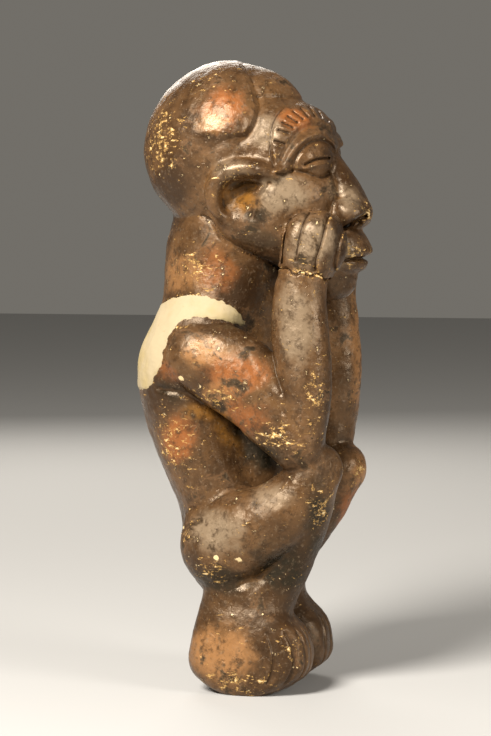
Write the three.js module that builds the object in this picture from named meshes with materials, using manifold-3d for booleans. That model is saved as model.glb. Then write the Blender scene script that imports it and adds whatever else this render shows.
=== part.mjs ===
// A squatting carved figure, 200 mm tall, with its head in its hands and its elbows on its knees.
// It is one carved block with one later repair fill in the right shoulder. The block is laid out here
// as the masses a carver would rough out, each one its own closed mesh, split where the carving has its creases.
// Millimetres, +Z up. The figure looks along -Y, and its right side is at -X. The origin is under the soles.
import * as THREE from "three";
import { mergeVertices } from "three/addons/utils/BufferGeometryUtils.js";
import Module from "manifold-3d";

const wasm = await Module();
wasm.setup();

// ---- Driving dimensions ----
const gap = 0.3; // clear line between one mass and the next

const footLength = 39.5;
const footWidth = 26;
const footHeight = 27;
const footMiddle = 2.8; // how far forward the middle of a foot lies
const feetApart = 28; // from the middle of one foot to the middle of the other
const toeCount = 4;
const toeGroove = 1.1;

const ankleWidth = 21;
const ankleDepth = 26;
const shinWidth = 17;
const shinDepth = 16.5;

const hipHeight = 46;
const hipBack = 5;
const hipRadius = 15.3;
const hipsApart = 27;
const thighRadius = 11.8;

const kneeHeight = 69.5;
const rightKneeLift = 2.6; // the right knee is carved a little higher than the left
const kneeReach = 26.3;
const kneeRadius = 8.1;
const kneesApart = 34;
const leftShinBack = 5; // the left shin is carved further back than the right

const elbowRadius = 8;
const elbowBehindKnee = 6;
const elbowsApart = 42;
const upperArmRadius = 12.2;
const upperArmWidth = 16;
const shoulderHeight = 106.5;
const shoulderBack = 13;
const shoulderRadius = 11.5;
const shouldersApart = 39;
const forearmDepth = 17.4;
const forearmWidth = 15.5;
const wristDepth = 15.4;

const handHeight = 21.5;
const handDepth = 20.4;
const handThickness = 10;
const leftHandBack = 4; // the left hand is held a little further back than the right
const fingerRadius = 3.1;
const fingerCount = 4;

const neckTop = 150; // where the skull sits on the neck
const neckWidth = 36.5;
const neckDepth = 41;
const chestWidth = 48;
const waistWidth = 40;
const seatHeight = 31; // underside of the pelvis

const skullLength = 56;
const skullWidth = 48;
const skullHeight = 59;
const skullSink = 9.5; // how far the skull comes down over the neck
const skullBack = 6.8; // how far behind the middle of the feet the middle of the skull lies
const faceReach = 27.4; // from the middle of the skull forward to the brow
const jawWidth = 40;
const chinDrop = 45.6; // from the middle of the skull down to the chin

const bellyWidth = 25; // the wood left in front of the torso, between the thighs and under the chin
const bellyReach = 11;

const fillDepth = 4.5; // thickness of the repair fill
const fillHeight = 31;
const fillLength = 46;
const fillFromSpine = 6;

// ---- Making masses ----

// A point by its distance to the left, forward and up.
const at = (left, forward, up) => new THREE.Vector3(left, -forward, up);
const acrossBody = new THREE.Vector3(1, 0, 0);
const upBody = new THREE.Vector3(0, 0, 1);

// A closed geometry as a manifold solid.
function solidOf(geometry) {
  geometry.deleteAttribute("normal");
  geometry.deleteAttribute("uv");
  const merged = mergeVertices(geometry, 1e-4);
  return new wasm.Manifold(
    new wasm.Mesh({
      numProp: 3,
      vertProperties: merged.getAttribute("position").array,
      triVerts: new Uint32Array(merged.index.array),
    }),
  );
}

// A manifold solid as a geometry.
function geometryOf(solid) {
  const mesh = solid.getMesh();
  const geometry = new THREE.BufferGeometry();
  geometry.setAttribute("position", new THREE.BufferAttribute(mesh.vertProperties, 3));
  geometry.setIndex(new THREE.BufferAttribute(mesh.triVerts, 1));
  geometry.computeVertexNormals();
  return geometry;
}

// Rounds a section off near the ends of a limb: 0 at the tip, 1 from one end radius inwards.
const rounding = (distance, radius) => Math.sqrt(Math.max(0, 1 - (1 - Math.min(1, distance / radius)) ** 2));

// A limb: a unit sphere bent along a curve through its stations, each [point, half width, half depth].
// The width runs along the across direction, and the depth square to both it and the limb. An upright limb
// has level sections and ends at its first and last stations. Any other limb is rounded about its end
// stations, so it runs on past them by their radius. square above 2 makes the sections boxier.
function limb(stations, { upright = false, around = 20, rows = 14, grow = 0, square = 2, ends = 1, across = acrossBody } = {}) {
  const sized = stations.map(([point, width, depth]) => [point.clone(), width + grow, depth + grow]);
  const runOn = ([point, width, depth], [next]) => {
    const distance = upright ? grow : Math.min(width, depth) * ends;
    return [point.clone().add(point.clone().sub(next).setLength(distance)), width, depth];
  };
  if (!upright) {
    sized.unshift(runOn(sized[0], sized[1]));
    sized.push(runOn(sized.at(-1), sized.at(-2)));
  } else if (grow > 0) {
    sized[0] = runOn(sized[0], sized[1]);
    sized[sized.length - 1] = runOn(sized.at(-1), sized.at(-2));
  }
  const path = new THREE.CatmullRomCurve3(sized.map(([point]) => point));
  const sizes = new THREE.CatmullRomCurve3(sized.map(([, width, depth], i) => new THREE.Vector3(width, depth, i * 1e-3)));
  const samples = 160;
  const lengths = [0];
  for (let i = 1; i <= samples; i++) {
    lengths.push(lengths[i - 1] + path.getPoint(i / samples).distanceTo(path.getPoint((i - 1) / samples)));
  }
  const total = lengths[samples];
  const sphere = new THREE.SphereGeometry(1, around, rows);
  const position = sphere.getAttribute("position");
  for (let i = 0; i < position.count; i++) {
    const turn = Math.atan2(position.getZ(i), position.getX(i));
    const rim = Math.hypot(position.getX(i), position.getZ(i));
    const t = THREE.MathUtils.clamp((1 - position.getY(i)) / 2, 0, 1);
    const middle = path.getPoint(t);
    const size = sizes.getPoint(t);
    const tangent = path.getTangent(t);
    if (upright) tangent.set(0, 0, Math.sign(tangent.z));
    const wide = across.clone().addScaledVector(tangent, -tangent.dot(across)).normalize();
    const deep = tangent.clone().cross(wide);
    const distance = t * samples;
    const low = Math.min(samples - 1, Math.floor(distance));
    const s = lengths[low] + (lengths[low + 1] - lengths[low]) * (distance - low);
    const end = ends * Math.min(size.x, size.y);
    const cap = rim < 1e-6 ? 0 : rounding(s, end) * rounding(total - s, end);
    const [c, d] = [Math.cos(turn), Math.sin(turn)];
    const boxed = (Math.abs(c) ** square + Math.abs(d) ** square) ** (-1 / square);
    middle.addScaledVector(wide, size.x * cap * boxed * c);
    middle.addScaledVector(deep, size.y * cap * boxed * d);
    position.setXYZ(i, middle.x, middle.y, middle.z);
  }
  return solidOf(sphere);
}

// An ellipsoid by its middle and its half width, half depth and half height.
function egg(middle, width, depth, height, { around = 28, rows = 18, grow = 0 } = {}) {
  const sphere = new THREE.SphereGeometry(1, around, rows).rotateX(Math.PI / 2);
  sphere.scale(width + grow, depth + grow, height + grow).translate(middle.x, middle.y, middle.z);
  return solidOf(sphere);
}

const join = (solids) => solids.reduce((sum, next) => sum.add(next));

// The largest body of a solid, where a cut has left offcuts.
function largest(solid) {
  const bodies = solid.decompose();
  return bodies.reduce((best, next) => (next.volume() > best.volume() ? next : best));
}

// ---- Landmarks that one mass takes from another ----
const skullMiddle = neckTop - skullSink + skullHeight / 2;
const kneeAt = (side) =>
  at((side * kneesApart) / 2, kneeReach, kneeHeight + (side < 0 ? rightKneeLift : 0));
const hipAt = (side) => at((side * hipsApart) / 2, -hipBack, hipHeight);
const elbowAt = (side) => {
  const knee = kneeAt(side);
  return at((side * elbowsApart) / 2, kneeReach - elbowBehindKnee, knee.z + elbowRadius - 0.9);
};
const shoulderAt = (side) => at((side * shouldersApart) / 2, -shoulderBack, shoulderHeight);
const handBack = (side) => (side > 0 ? leftHandBack : 0);
const palmAt = (side) =>
  at(side * (jawWidth / 2 + 2), faceReach - skullBack + 3 - handBack(side), skullMiddle - 28.3);
const wristAt = (side) =>
  at(side * (elbowsApart / 2), faceReach - skullBack - 0.3 * handBack(side), palmAt(side).z - handHeight / 2 + 1);

// ---- The masses ----

// Neck and torso in level sections, leaning back from the pelvis to the shoulders.
function torsoMass(grow = 0) {
  const lean = (up) => -hipBack - 15 * THREE.MathUtils.smoothstep(up, hipHeight, shoulderHeight - 12);
  const [neck, chest, waist] = [neckWidth / 2, chestWidth / 2, waistWidth / 2];
  return limb(
    [
      [at(0, -3, seatHeight), waist * 0.7, 11],
      [at(0, -hipBack, hipHeight), waist, 15.5],
      [at(0, lean(hipHeight + 17), hipHeight + 17), waist, 16.4],
      [at(0, lean(hipHeight + 31), hipHeight + 31), waist * 1.06, 17],
      [at(0, lean(shoulderHeight - 13), shoulderHeight - 13), chest * 0.95, 17.2],
      [at(0, -18.4, shoulderHeight), chest, 18.3],
      [at(0, -13.2, shoulderHeight + 10), chest * 0.93, 18.4],
      [at(0, -10.4, shoulderHeight + 17), neck * 1.12, neckDepth / 2 - 0.8],
      [at(0, -9, (shoulderHeight + 17 + neckTop) / 2), neck, neckDepth / 2],
      [at(0, -8, neckTop - 6), neck, neckDepth / 2 + 0.6],
      [at(0, -6, neckTop + 4), neck * 0.9, neckDepth / 2 - 1],
    ],
    { upright: true, around: 26, rows: 24, grow, ends: 0.5 },
  );
}

// The torso with the belly and chest standing forward of it between the limbs.
function trunkMass(grow = 0) {
  const half = bellyWidth / 2;
  const front = (forward, up, depth) => at(0, forward - depth, up);
  const belly = limb(
    [
      [front(bellyReach, hipHeight + 14, 9), half * 0.9, 9],
      [front(bellyReach + 1, hipHeight + 30, 9.5), half, 9.5],
      [front(bellyReach - 3, shoulderHeight - 11, 9), half * 0.94, 9],
      [front(bellyReach - 2.5, shoulderHeight + 5, 8), half * 0.88, 8],
      [front(bellyReach - 1.5, shoulderHeight + 15, 7.5), half * 0.8, 7.5],
    ],
    { grow, around: 18, rows: 12 },
  );
  return join([torsoMass(grow), belly]);
}

function headMass(grow = 0) {
  const up = (rise) => skullMiddle + rise;
  const face = (left, forward, rise) => at(left, forward - skullBack + faceReach - 20.6, up(rise));
  const small = { around: 10, rows: 8, grow };
  const lip = { around: 8, rows: 10, grow, across: upBody };
  const jaw = jawWidth / 2;
  const masses = [
    egg(at(0, -skullBack, skullMiddle), skullWidth / 2, skullLength / 2, skullHeight / 2, { grow }),
    // face, from the forehead down to the chin
    limb(
      [
        [face(0, 3, 20), jaw * 0.7, 15],
        [face(0, 6.5, 10), jaw, 20],
        [face(0, 7, 2), jaw * 1.1, 20.6],
        [face(0, 6, -8), jaw * 1.12, 21],
        [face(0, 9, -18), jaw * 1.04, 19],
        [face(0, 15.5, -29), jaw * 0.84, 14],
        [face(0, 20.5, -34), jaw * 0.66, 10],
        [face(0, 25, 1.6 - chinDrop + 3), jaw * 0.44, 6],
        [face(0, 26, 1 - chinDrop), jaw * 0.3, 4],
      ],
      { upright: true, around: 22, rows: 18, grow, ends: 0.6 },
    ),
    // the raised front of the hair
    egg(face(0, 2, 17), skullWidth / 4, 13.2, 11.5, { around: 16, rows: 10, grow }),
    // nose, from the bridge to the tip
    limb([[face(0, 25.5, -2), 3.2, 3], [face(0, 30.4, -9), 4.2, 4.2], [face(0, 33.6, -17.6), 5.6, 4.8]], small),
    // upper lip, lower lip and chin
    limb([[face(-7.5, 27.5, -28.6), 2.6, 3], [face(0, 34.8, -28), 3.8, 4.2], [face(7.5, 27.5, -28.6), 2.6, 3]], lip),
    limb([[face(-6.5, 27.5, -33.4), 2.2, 3], [face(0, 33.6, -34.2), 3.2, 3.8], [face(6.5, 27.5, -33.4), 2.2, 3]], lip),
    egg(face(0, 28, -41), 6, 5.4, 4.6, { around: 12, rows: 8, grow }),
  ];
  for (const side of [-1, 1]) {
    const ear = skullWidth / 2 - 1.5;
    masses.push(
      egg(face(side * 5.2, 32.4, -20.4), 3.8, 4, 3.6, { around: 10, rows: 7, grow }), // wing of the nose
      // brow
      limb(
        [
          [face(side * 18, 13.5, 1), 2.6, 2.6],
          [face(side * 13.5, 21, 8), 3.2, 3.2],
          [face(side * 5, 25, 5.5), 3, 3],
        ],
        { around: 8, rows: 8, grow, across: upBody },
      ),
      // eyelids
      limb(
        [
          [face(side * 16, 18.5, -3.6), 1.6, 1.6],
          [face(side * 11, 23.4, -1.2), 2.6, 2.4],
          [face(side * 6, 24.6, -2.6), 1.6, 1.6],
        ],
        { around: 8, rows: 8, grow, across: upBody },
      ),
      // rim of the ear, a hook open to the front and below
      limb(
        [
          [face(side * (ear - 1.5), 11.5, -6), 2.2, 2],
          [face(side * ear, 3, -4.8), 2.6, 2.8],
          [face(side * ear, -5.2, -7.6), 2.6, 2.9],
          [face(side * (ear - 0.6), -7, -15), 2.6, 2.6],
          [face(side * (ear - 4.5), -4, -21), 2.2, 2],
        ],
        { around: 10, rows: 12, grow },
      ),
    );
  }
  return join(masses);
}

function handMass(side, grow = 0) {
  const palm = palmAt(side);
  const [half, bottom] = [handDepth / 2, palm.z - handHeight / 2];
  const flare = (rise) => -palm.y + 2.2 * (rise / handHeight - 0.5);
  const masses = [
    limb(
      [
        [at(palm.x, flare(4), bottom + 4.5), handThickness * 0.5, half * 0.8],
        [at(palm.x, flare(10), bottom + 10), handThickness * 0.55, half],
        [at(palm.x * 0.98, flare(15), bottom + handHeight - 5), handThickness * 0.45, half * 0.9],
      ],
      { grow, around: 18, rows: 10, ends: 0.9 },
    ),
  ];
  for (let finger = 0; finger < fingerCount; finger++) {
    const share = (finger + 0.5) / fingerCount - 0.5;
    const shift = share * (handDepth - 2);
    const tuck = handThickness * (0.34 - 0.9 * share * share); // the hand is rounded over its outer fingers
    const arch = handHeight * share * share * 0.8; // and its top is arched
    masses.push(
      limb(
        [
          [at(palm.x + side * tuck * 0.7, flare(3) + shift * 0.92, bottom + 5), fingerRadius * 0.8, fingerRadius],
          [at(palm.x + side * tuck, flare(12) + shift, bottom + 11.5), fingerRadius, fingerRadius],
          [at(palm.x + side * tuck * 0.5, flare(17) + shift * 0.92, bottom + handHeight - fingerRadius - 1 - arch), fingerRadius, fingerRadius],
        ],
        { grow, around: 10, rows: 8 },
      ),
    );
  }
  return join(masses);
}

// Upper arm, forearm and the web of wood left between them at the bend.
function armMass(side, grow = 0) {
  const [shoulder, elbow, wrist] = [shoulderAt(side), elbowAt(side), wristAt(side)];
  const between = (a, b, share) => a.clone().lerp(b, share);
  const forward = (point, distance) => point.clone().add(at(0, distance, 0));
  return join([
    limb(
      [
        [shoulder, upperArmWidth * 0.58, shoulderRadius],
        [between(shoulder, elbow, 0.28).add(at(0, 1, 3)), upperArmWidth * 0.55, upperArmRadius + 1.4],
        [between(shoulder, elbow, 0.55).add(at(0, 1, 2.4)), upperArmWidth / 2, upperArmRadius],
        [between(shoulder, elbow, 0.8), upperArmWidth / 2, (upperArmRadius + elbowRadius) / 2],
        [elbow, elbowRadius * 0.95, elbowRadius],
      ],
      { grow },
    ),
    limb(
      [
        [elbow, elbowRadius * 0.95, elbowRadius],
        [forward(between(elbow, wrist, 0.4), 1.4), forearmWidth / 2, forearmDepth / 2],
        [forward(between(elbow, wrist, 0.7), 0.8), forearmWidth / 2, forearmDepth / 2],
        [wrist.clone().add(at(0, 0, -5)), forearmWidth / 2 - 0.7, wristDepth / 2],
      ],
      { grow },
    ),
    limb(
      [
        [between(shoulder, elbow, 0.45).add(at(-side * 2, 5, 7)), upperArmWidth * 0.36, 7],
        [between(elbow, wrist, 0.3).add(at(-side * 2, -3, 0)), upperArmWidth * 0.36, 9],
      ],
      { grow, around: 12, rows: 8 },
    ),
  ]);
}

// Hip, thigh, knee, shin and foot. The sole is trimmed flat.
function legMass(side, grow = 0) {
  const [hip, knee] = [hipAt(side), kneeAt(side)];
  const middle = (side * feetApart) / 2;
  const [long, wide] = [footLength / 2, footWidth / 2];
  const ankleMiddle = footMiddle - 1.6;
  const back = side > 0 ? leftShinBack : 0;
  const masses = [
    limb(
      [
        [hip, hipRadius * 0.94, hipRadius],
        [at(side * 18, 3.5, hip.z + 5.5), hipRadius * 0.72, (hipRadius + thighRadius) / 2],
        [at(side * 18.4, 12.6, (hip.z + knee.z) / 2 - 2.4), thighRadius * 0.88, thighRadius],
        [knee, kneeRadius * 1.05, kneeRadius],
      ],
      { grow, around: 22, rows: 16 },
    ),
    limb(
      [
        [knee.clone().add(at(side * -1.5, -0.8, -2)), kneeRadius, kneeRadius * 0.9],
        [at(side * 13, kneeReach - 8 - back, (knee.z + footHeight) / 2), shinWidth / 2, shinDepth / 2],
        [at(side * 12, ankleMiddle + 4.4 - back, footHeight), shinWidth / 2, shinDepth / 2],
      ],
      { grow, around: 16, rows: 12 },
    ),
    limb(
      [
        [at(middle, footMiddle - 1, -3), wide * 0.5, long * 0.3],
        [at(middle, footMiddle - 0.6, 0), wide * 0.78, long * 0.56],
        [at(middle, footMiddle - 0.6, 3.5), wide * 0.93, long * 0.82],
        [at(middle, footMiddle, footHeight * 0.33), wide, long],
        [at(middle, footMiddle - 0.4, footHeight * 0.7), wide - 1.4, long - 2.6],
        [at(middle * 0.94, ankleMiddle, footHeight), ankleWidth / 2, ankleDepth / 2],
        [at(middle * 0.9, ankleMiddle - 1, footHeight + 9), ankleWidth / 2 - 1, ankleDepth / 2 - 2],
      ],
      { upright: true, grow, around: 28, rows: 18, square: 2.5, ends: 0.3 },
    ),
  ];
  let leg = join(masses);
  for (let groove = 1; groove < toeCount; groove++) {
    // grooves between the toes, fanned round the outer front of the foot
    const turn = (-0.9 + (1.9 * groove) / toeCount) * side;
    const reach = (up, inset) =>
      at(middle + (wide - inset) * Math.sin(turn), footMiddle + (long - inset) * Math.cos(turn), up);
    const cutter = limb(
      [
        [reach(-4, 0), toeGroove, toeGroove],
        [reach(8, -0.5), toeGroove, toeGroove],
        [reach(20, 3), toeGroove * 0.8, toeGroove * 0.8],
      ],
      { around: 8, rows: 6 },
    );
    if (!grow) leg = leg.subtract(cutter);
  }
  const reachOut = 80;
  const ground = new THREE.BoxGeometry(2 * reachOut, 2 * reachOut, reachOut).translate(0, 0, -reachOut / 2);
  const otherSide = new THREE.BoxGeometry(reachOut, 2 * reachOut, 2 * reachOut);
  otherSide.translate(-side * (reachOut / 2 - gap / 2 + grow), 0, reachOut / 2);
  return leg.subtract(solidOf(ground)).subtract(solidOf(otherSide));
}

// The repair: a shell of fill set into the trunk over and behind the right shoulder.
function fillMass(clear = 0) {
  const reach = chestWidth;
  const disc = new THREE.CylinderGeometry(1, 1, reach, 40).rotateZ(Math.PI / 2);
  disc.scale(1, fillLength / 2 + clear, fillHeight / 2 + clear);
  disc.translate(-fillFromSpine + clear - reach / 2, shoulderBack + 7, shoulderHeight + 3.5);
  const outside = clear ? torsoMass(1) : torsoMass();
  return outside.subtract(torsoMass(-fillDepth - clear)).intersect(solidOf(disc));
}

// ---- Fitting the masses to each other ----
const sides = { right: -1, left: 1 };
const carved = {};
const fitted = {};
fitted.head = headMass();
carved.head = headMass(gap);
for (const [name, side] of Object.entries(sides)) {
  carved[name + "_hand"] = handMass(side, gap);
  fitted[name + "_hand"] = handMass(side).subtract(carved.head);
  carved[name + "_leg"] = legMass(side, gap);
  fitted[name + "_leg"] = legMass(side);
  carved[name + "_arm"] = armMass(side, gap);
  fitted[name + "_arm"] = armMass(side)
    .subtract(carved.head)
    .subtract(carved[name + "_hand"])
    .subtract(carved[name + "_leg"]);
}
const roundTrunk = Object.values(carved).reduce((sum, next) => sum.add(next));
fitted.shoulder_fill = largest(fillMass().subtract(roundTrunk));
fitted.trunk = largest(trunkMass().subtract(roundTrunk).subtract(fillMass(gap)));

// ---- The figure ----
const patina = new THREE.MeshStandardMaterial({ color: 0x5e3b28, roughness: 0.45, metalness: 0 });
const fillPaste = new THREE.MeshStandardMaterial({ color: 0xe6cf98, roughness: 0.9, metalness: 0 });

const figure = new THREE.Group();
for (const [name, solid] of Object.entries(fitted)) {
  const mesh = new THREE.Mesh(geometryOf(largest(solid)), name === "shoulder_fill" ? fillPaste : patina);
  mesh.name = name;
  figure.add(mesh);
}

export default figure;
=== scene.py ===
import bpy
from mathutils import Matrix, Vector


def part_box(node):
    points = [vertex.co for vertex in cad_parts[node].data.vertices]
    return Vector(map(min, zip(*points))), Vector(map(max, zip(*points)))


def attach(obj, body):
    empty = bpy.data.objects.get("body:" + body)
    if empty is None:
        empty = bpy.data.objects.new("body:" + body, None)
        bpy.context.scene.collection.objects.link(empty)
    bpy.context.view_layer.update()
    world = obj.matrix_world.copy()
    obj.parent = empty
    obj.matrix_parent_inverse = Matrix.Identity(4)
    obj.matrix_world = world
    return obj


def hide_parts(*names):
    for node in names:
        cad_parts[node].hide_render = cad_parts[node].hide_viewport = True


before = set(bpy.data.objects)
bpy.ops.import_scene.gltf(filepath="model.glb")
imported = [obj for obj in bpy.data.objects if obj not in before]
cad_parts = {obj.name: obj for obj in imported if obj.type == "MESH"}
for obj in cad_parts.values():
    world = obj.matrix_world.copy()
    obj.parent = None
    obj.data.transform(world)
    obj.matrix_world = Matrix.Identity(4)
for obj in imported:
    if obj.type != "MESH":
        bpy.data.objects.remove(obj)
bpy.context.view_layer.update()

from concurrent.futures import ThreadPoolExecutor

import bpy
import numpy as np

# ---- The block ----
# One block of pale, close-grained wood, roughed out into rounded masses, then cut with gouge and knife.
# Each mass is worked out as a distance: below zero inside the wood, above zero outside, in millimetres.
# Points are (left, forward, up): left is +X, forward is -Y, and up is +Z.
FAR = 6.0  # no mass is worked out further from its surface than this


def smooth_path(stations, steps=6):
    """Rows carried along a smooth curve: each span is the cubic through its two ends that leaves
    each of them along the line between that end's neighbours."""
    s = np.asarray(stations, float)
    s = np.vstack([2 * s[0] - s[1], s, 2 * s[-1] - s[-2]])
    t = np.linspace(0, 1, steps, endpoint=False)[:, None]
    spans = [
        0.5 * (2 * b + (c - a) * t + (2 * a - 5 * b + 4 * c - d) * t**2 + (3 * b - a - 3 * c + d) * t**3)
        for a, b, c, d in zip(s, s[1:], s[2:], s[3:])
    ]
    return np.vstack(spans + [s[-2]])


def nearest_on_path(points, path):
    """For each point, its squared distance to a chain of straight pieces and where on the chain that is,
    counted in pieces: the point is dropped square on to each piece, held between its ends."""
    best = np.full(len(points), np.inf)
    place = np.zeros(len(points))
    for i, (a, b) in enumerate(zip(path, path[1:])):
        run = b - a
        share = np.clip((points - a) @ run / max(run @ run, 1e-12), 0, 1)
        gap = ((points - a - share[:, None] * run) ** 2).sum(1)
        nearer = gap < best
        best[nearer] = gap[nearer]
        place[nearer] = i + share[nearer]
    return best, place


def unit(vectors):
    """Each row divided by its own length."""
    return vectors / np.maximum(np.linalg.norm(vectors, axis=-1, keepdims=True), 1e-9)


def oval(offsets, halves):
    """Distance to an oval solid: k is the length of the offset measured in half widths, and the distance
    is (k - 1) over the rate at which k grows."""
    k = np.sqrt(((offsets / halves) ** 2).sum(1)) + 1e-6
    growth = np.sqrt(((offsets / halves**2) ** 2).sum(1)) / k + 1e-6
    return (k - 1) / growth


def limb(p, stations, across=(1, 0, 0), steps=12):
    """Distance to an oval profile carried along a smooth path and rounded off past its ends. A station is
    (left, forward, up, half width, half depth); the width lies along `across`, the depth square to it."""
    path = smooth_path(stations, steps)
    middle, half = path[:, :3], path[:, 3:]
    pad = half.max() + FAR
    near = np.flatnonzero(((p > middle.min(0) - pad) & (p < middle.max(0) + pad)).all(1))
    d = np.full(len(p), FAR)
    if len(near) == 0:
        return d
    q = p[near]
    _, place = nearest_on_path(q, middle)
    i = np.minimum(place.astype(int), len(middle) - 2)
    share = (place - i)[:, None]
    mix = lambda rows: rows[i] * (1 - share) + rows[i + 1] * share
    along = unit(mix(unit(np.gradient(middle, axis=0))))
    wide = unit(np.asarray(across, float) - along * (along @ np.asarray(across, float))[:, None])
    deep = np.cross(along, wide)
    offset = q - mix(middle)
    halves = mix(half)
    local = np.stack([(offset * wide).sum(1), (offset * deep).sum(1), (offset * along).sum(1)], 1)
    d[near] = np.minimum(oval(local, np.column_stack([halves, halves.min(1)])), FAR)
    return d


def egg(p, middle, halves):
    """Distance to an egg: an oval solid about its middle."""
    return np.minimum(oval(p - np.asarray(middle, float), np.asarray(halves, float)), FAR)


def level_sections(p, stations, square=2.0, middle=0.0):
    """Distance to a mass whose level slices are ovals: half width and half depth run smoothly with height.
    A station is (up, forward, half width, half depth). `square` above 2 makes the slices boxier."""
    path = smooth_path(sorted(stations), 10)
    up = p[:, 2]
    forward, wide, deep = (np.interp(up, path[:, 0], path[:, i]) for i in (1, 2, 3))
    a, b = np.abs((p[:, 0] - middle) / wide), np.abs((p[:, 1] - forward) / deep)
    k = (a**square + b**square) ** (1 / square) + 1e-6
    growth = np.hypot((a / k) ** (square - 1) / wide, (b / k) ** (square - 1) / deep) + 1e-6
    d = (k - 1) / growth
    ends = np.maximum(path[0, 0] - up, up - path[-1, 0])
    return np.minimum(cut(d, -ends, 4.0), FAR)


def blend(a, b, soft):
    """Two masses as one, with the crease between them filled: the lower distance, less soft/4 times h
    squared, where h is 1 where the two are equal and 0 where they differ by soft."""
    h = np.maximum(soft - np.abs(a - b), 0) / soft
    return np.minimum(a, b) - h * h * soft / 4


def cut(a, b, soft):
    """The first mass with the second taken out of it, its new edge eased over soft."""
    return -blend(-a, b, soft)


def line_gap(view, points):
    """Distance from points in a flat view to a smooth line drawn in that view."""
    return np.sqrt(nearest_on_path(view, smooth_path(points))[0])


def score(d, view, points, depth, width):
    """A groove cut along a line drawn in a flat view, or a ridge left standing if depth is below zero. Its
    profile is a bell: depth times exp(-(distance / width) squared)."""
    pts = np.asarray(points, float)
    near = ((view > pts.min(0) - 3 * width) & (view < pts.max(0) + 3 * width)).all(1)
    d = d.copy()
    d[near] += depth * np.exp(-((line_gap(view[near], pts) / width) ** 2))
    return d


def bell(view, middle, spread):
    """1 at the middle of a spot in a flat view, falling off smoothly over spread."""
    return np.exp(-(((view - np.asarray(middle)) / np.asarray(spread)) ** 2).sum(1))


def region(view, outline):
    """Signed distance to a closed outline in a flat view, below zero inside: the distance to its nearest
    side, with the sign from how many sides a line drawn to one side of the point would cross."""
    corners = np.asarray(outline, float)
    closed = np.vstack([corners, corners[:1]])
    gap = np.sqrt(nearest_on_path(view, closed)[0])
    inside = np.zeros(len(view), bool)
    for (x0, y0), (x1, y1) in zip(closed, closed[1:]):
        if y0 != y1:
            crosses = (y0 > view[:, 1]) != (y1 > view[:, 1])
            inside ^= crosses & (view[:, 0] < x0 + (view[:, 1] - y0) * (x1 - x0) / (y1 - y0))
    return np.where(inside, -gap, gap)


def waves(p, length, seed, count=10):
    """Gentle unevenness from about -1 to 1: a sum of sine waves of about one length, each its own way."""
    random = np.random.default_rng(seed)
    heading = unit(random.normal(size=(count, 3)))
    turn = heading * (2 * np.pi / length) * random.uniform(0.7, 1.4, (count, 1))
    return np.sin(p @ turn.T + random.uniform(0, 6.28, count)).sum(1) / np.sqrt(count / 2) / 2


def only(p, side, low, high, mass):
    """A mass's distance, worked out only for points between two heights and on its own side, with some room
    round it, and FAR for all others."""
    near = (p[:, 2] > low - FAR) & (p[:, 2] < high + FAR) & (p[:, 0] * side > -FAR)
    d = np.full(len(p), FAR)
    if near.any():
        d[near] = mass(p[near])
    return d


TURN = np.radians(15)
MARKED_AT = 14.0


def side_view(p):
    """The view that the features are marked out in: from either side, turned 15 degrees towards the front.
    Its first number is the place forward, as if everything lay 14 mm out from the middle."""
    return np.column_stack([p[:, 1] - np.tan(TURN) * (np.abs(p[:, 0]) - MARKED_AT), p[:, 2]])


# ---- Legs and feet ----
# Each leg is folded in a squat: a full thigh, a narrow knee, a shin that slopes back, and a blocky foot.
# Both feet are cut from the foot of the block, with their toes only scored in, and stand on flat soles.
KNEE_UP = {-1: 71.8, 1: 69.0}
SHIN_BACK = {-1: 0.4, 1: 5.2}
TOE_GROOVES = (31, 50, 68, 89, 112)  # degrees round the front of the foot, from its outer side


def leg(p, side):
    """One leg: thigh and shin as limbs, the foot as boxy level sections with scored toes."""
    s, knee, back = side, KNEE_UP[side], SHIN_BACK[side]
    thigh = limb(p, [
        (s * 13.5, -5.0, 46.0, 14.6, 15.3), (s * 17.6, 3.5, 51.2, 11.6, 13.6),
        (s * 18.6, 12.4, 56.2, 10.4, 11.6), (s * 18.2, 19.6, 63.2, 8.8, 9.4),
        (s * 17.2, 25.4, knee, 8.4, 8.0)], steps=30)
    shin = limb(p, [
        (s * 16.6, 24.6, knee - 2, 8.2, 7.8), (s * 14.6, 21.2 - back * 0.4, 56.0, 8.0, 7.8),
        (s * 13.2, 16.6 - back, 45.0, 8.0, 8.0), (s * 12.4, 11.8 - back, 36.0, 8.4, 8.6),
        (s * 12.4, 6.0 - back * 0.5, 28.0, 9.4, 11.0)])
    foot = level_sections(p, [
        (-3.0, 2.6, 8.0, 5.0), (0.0, 2.6, 10.4, 9.0), (1.5, 2.7, 11.4, 12.2), (3.0, 2.8, 12.0, 14.6),
        (6.0, 3.0, 12.7, 18.2), (10.0, 3.1, 13.0, 19.6), (15.5, 3.2, 12.8, 19.1), (20.0, 2.8, 12.3, 17.6),
        (25.0, 1.1, 11.4, 14.5), (29.0, 0.2, 10.4, 12.6),
        (36.0, -0.5, 9.4, 10.6)], square=3.0, middle=s * 13.4)
    turn = np.degrees(np.arctan2((p[:, 1] - 3.1) / 19.4, (p[:, 0] * s - 13.4) / 12.9))
    height = np.clip((p[:, 2] - 12.5) / 8.5, -2, 2)
    hold = np.exp(-np.maximum(np.abs(height) - 0.85, 0) ** 2 / 0.02)
    for groove in TOE_GROOVES:
        away = (turn - groove + 6 * height**2) * 0.28
        foot = foot + 0.85 * hold * np.exp(-((away / 0.8) ** 2))
    d = blend(thigh, shin, 1.6)
    if side < 0:
        # a flat place cut down the front of the knee
        d = cut(d, 37.4 - p @ np.array([-0.6, 0.8, 0]) - 0.08 * (p[:, 2] - 62), 1.2)
    return blend(d, foot, 2.4)


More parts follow.
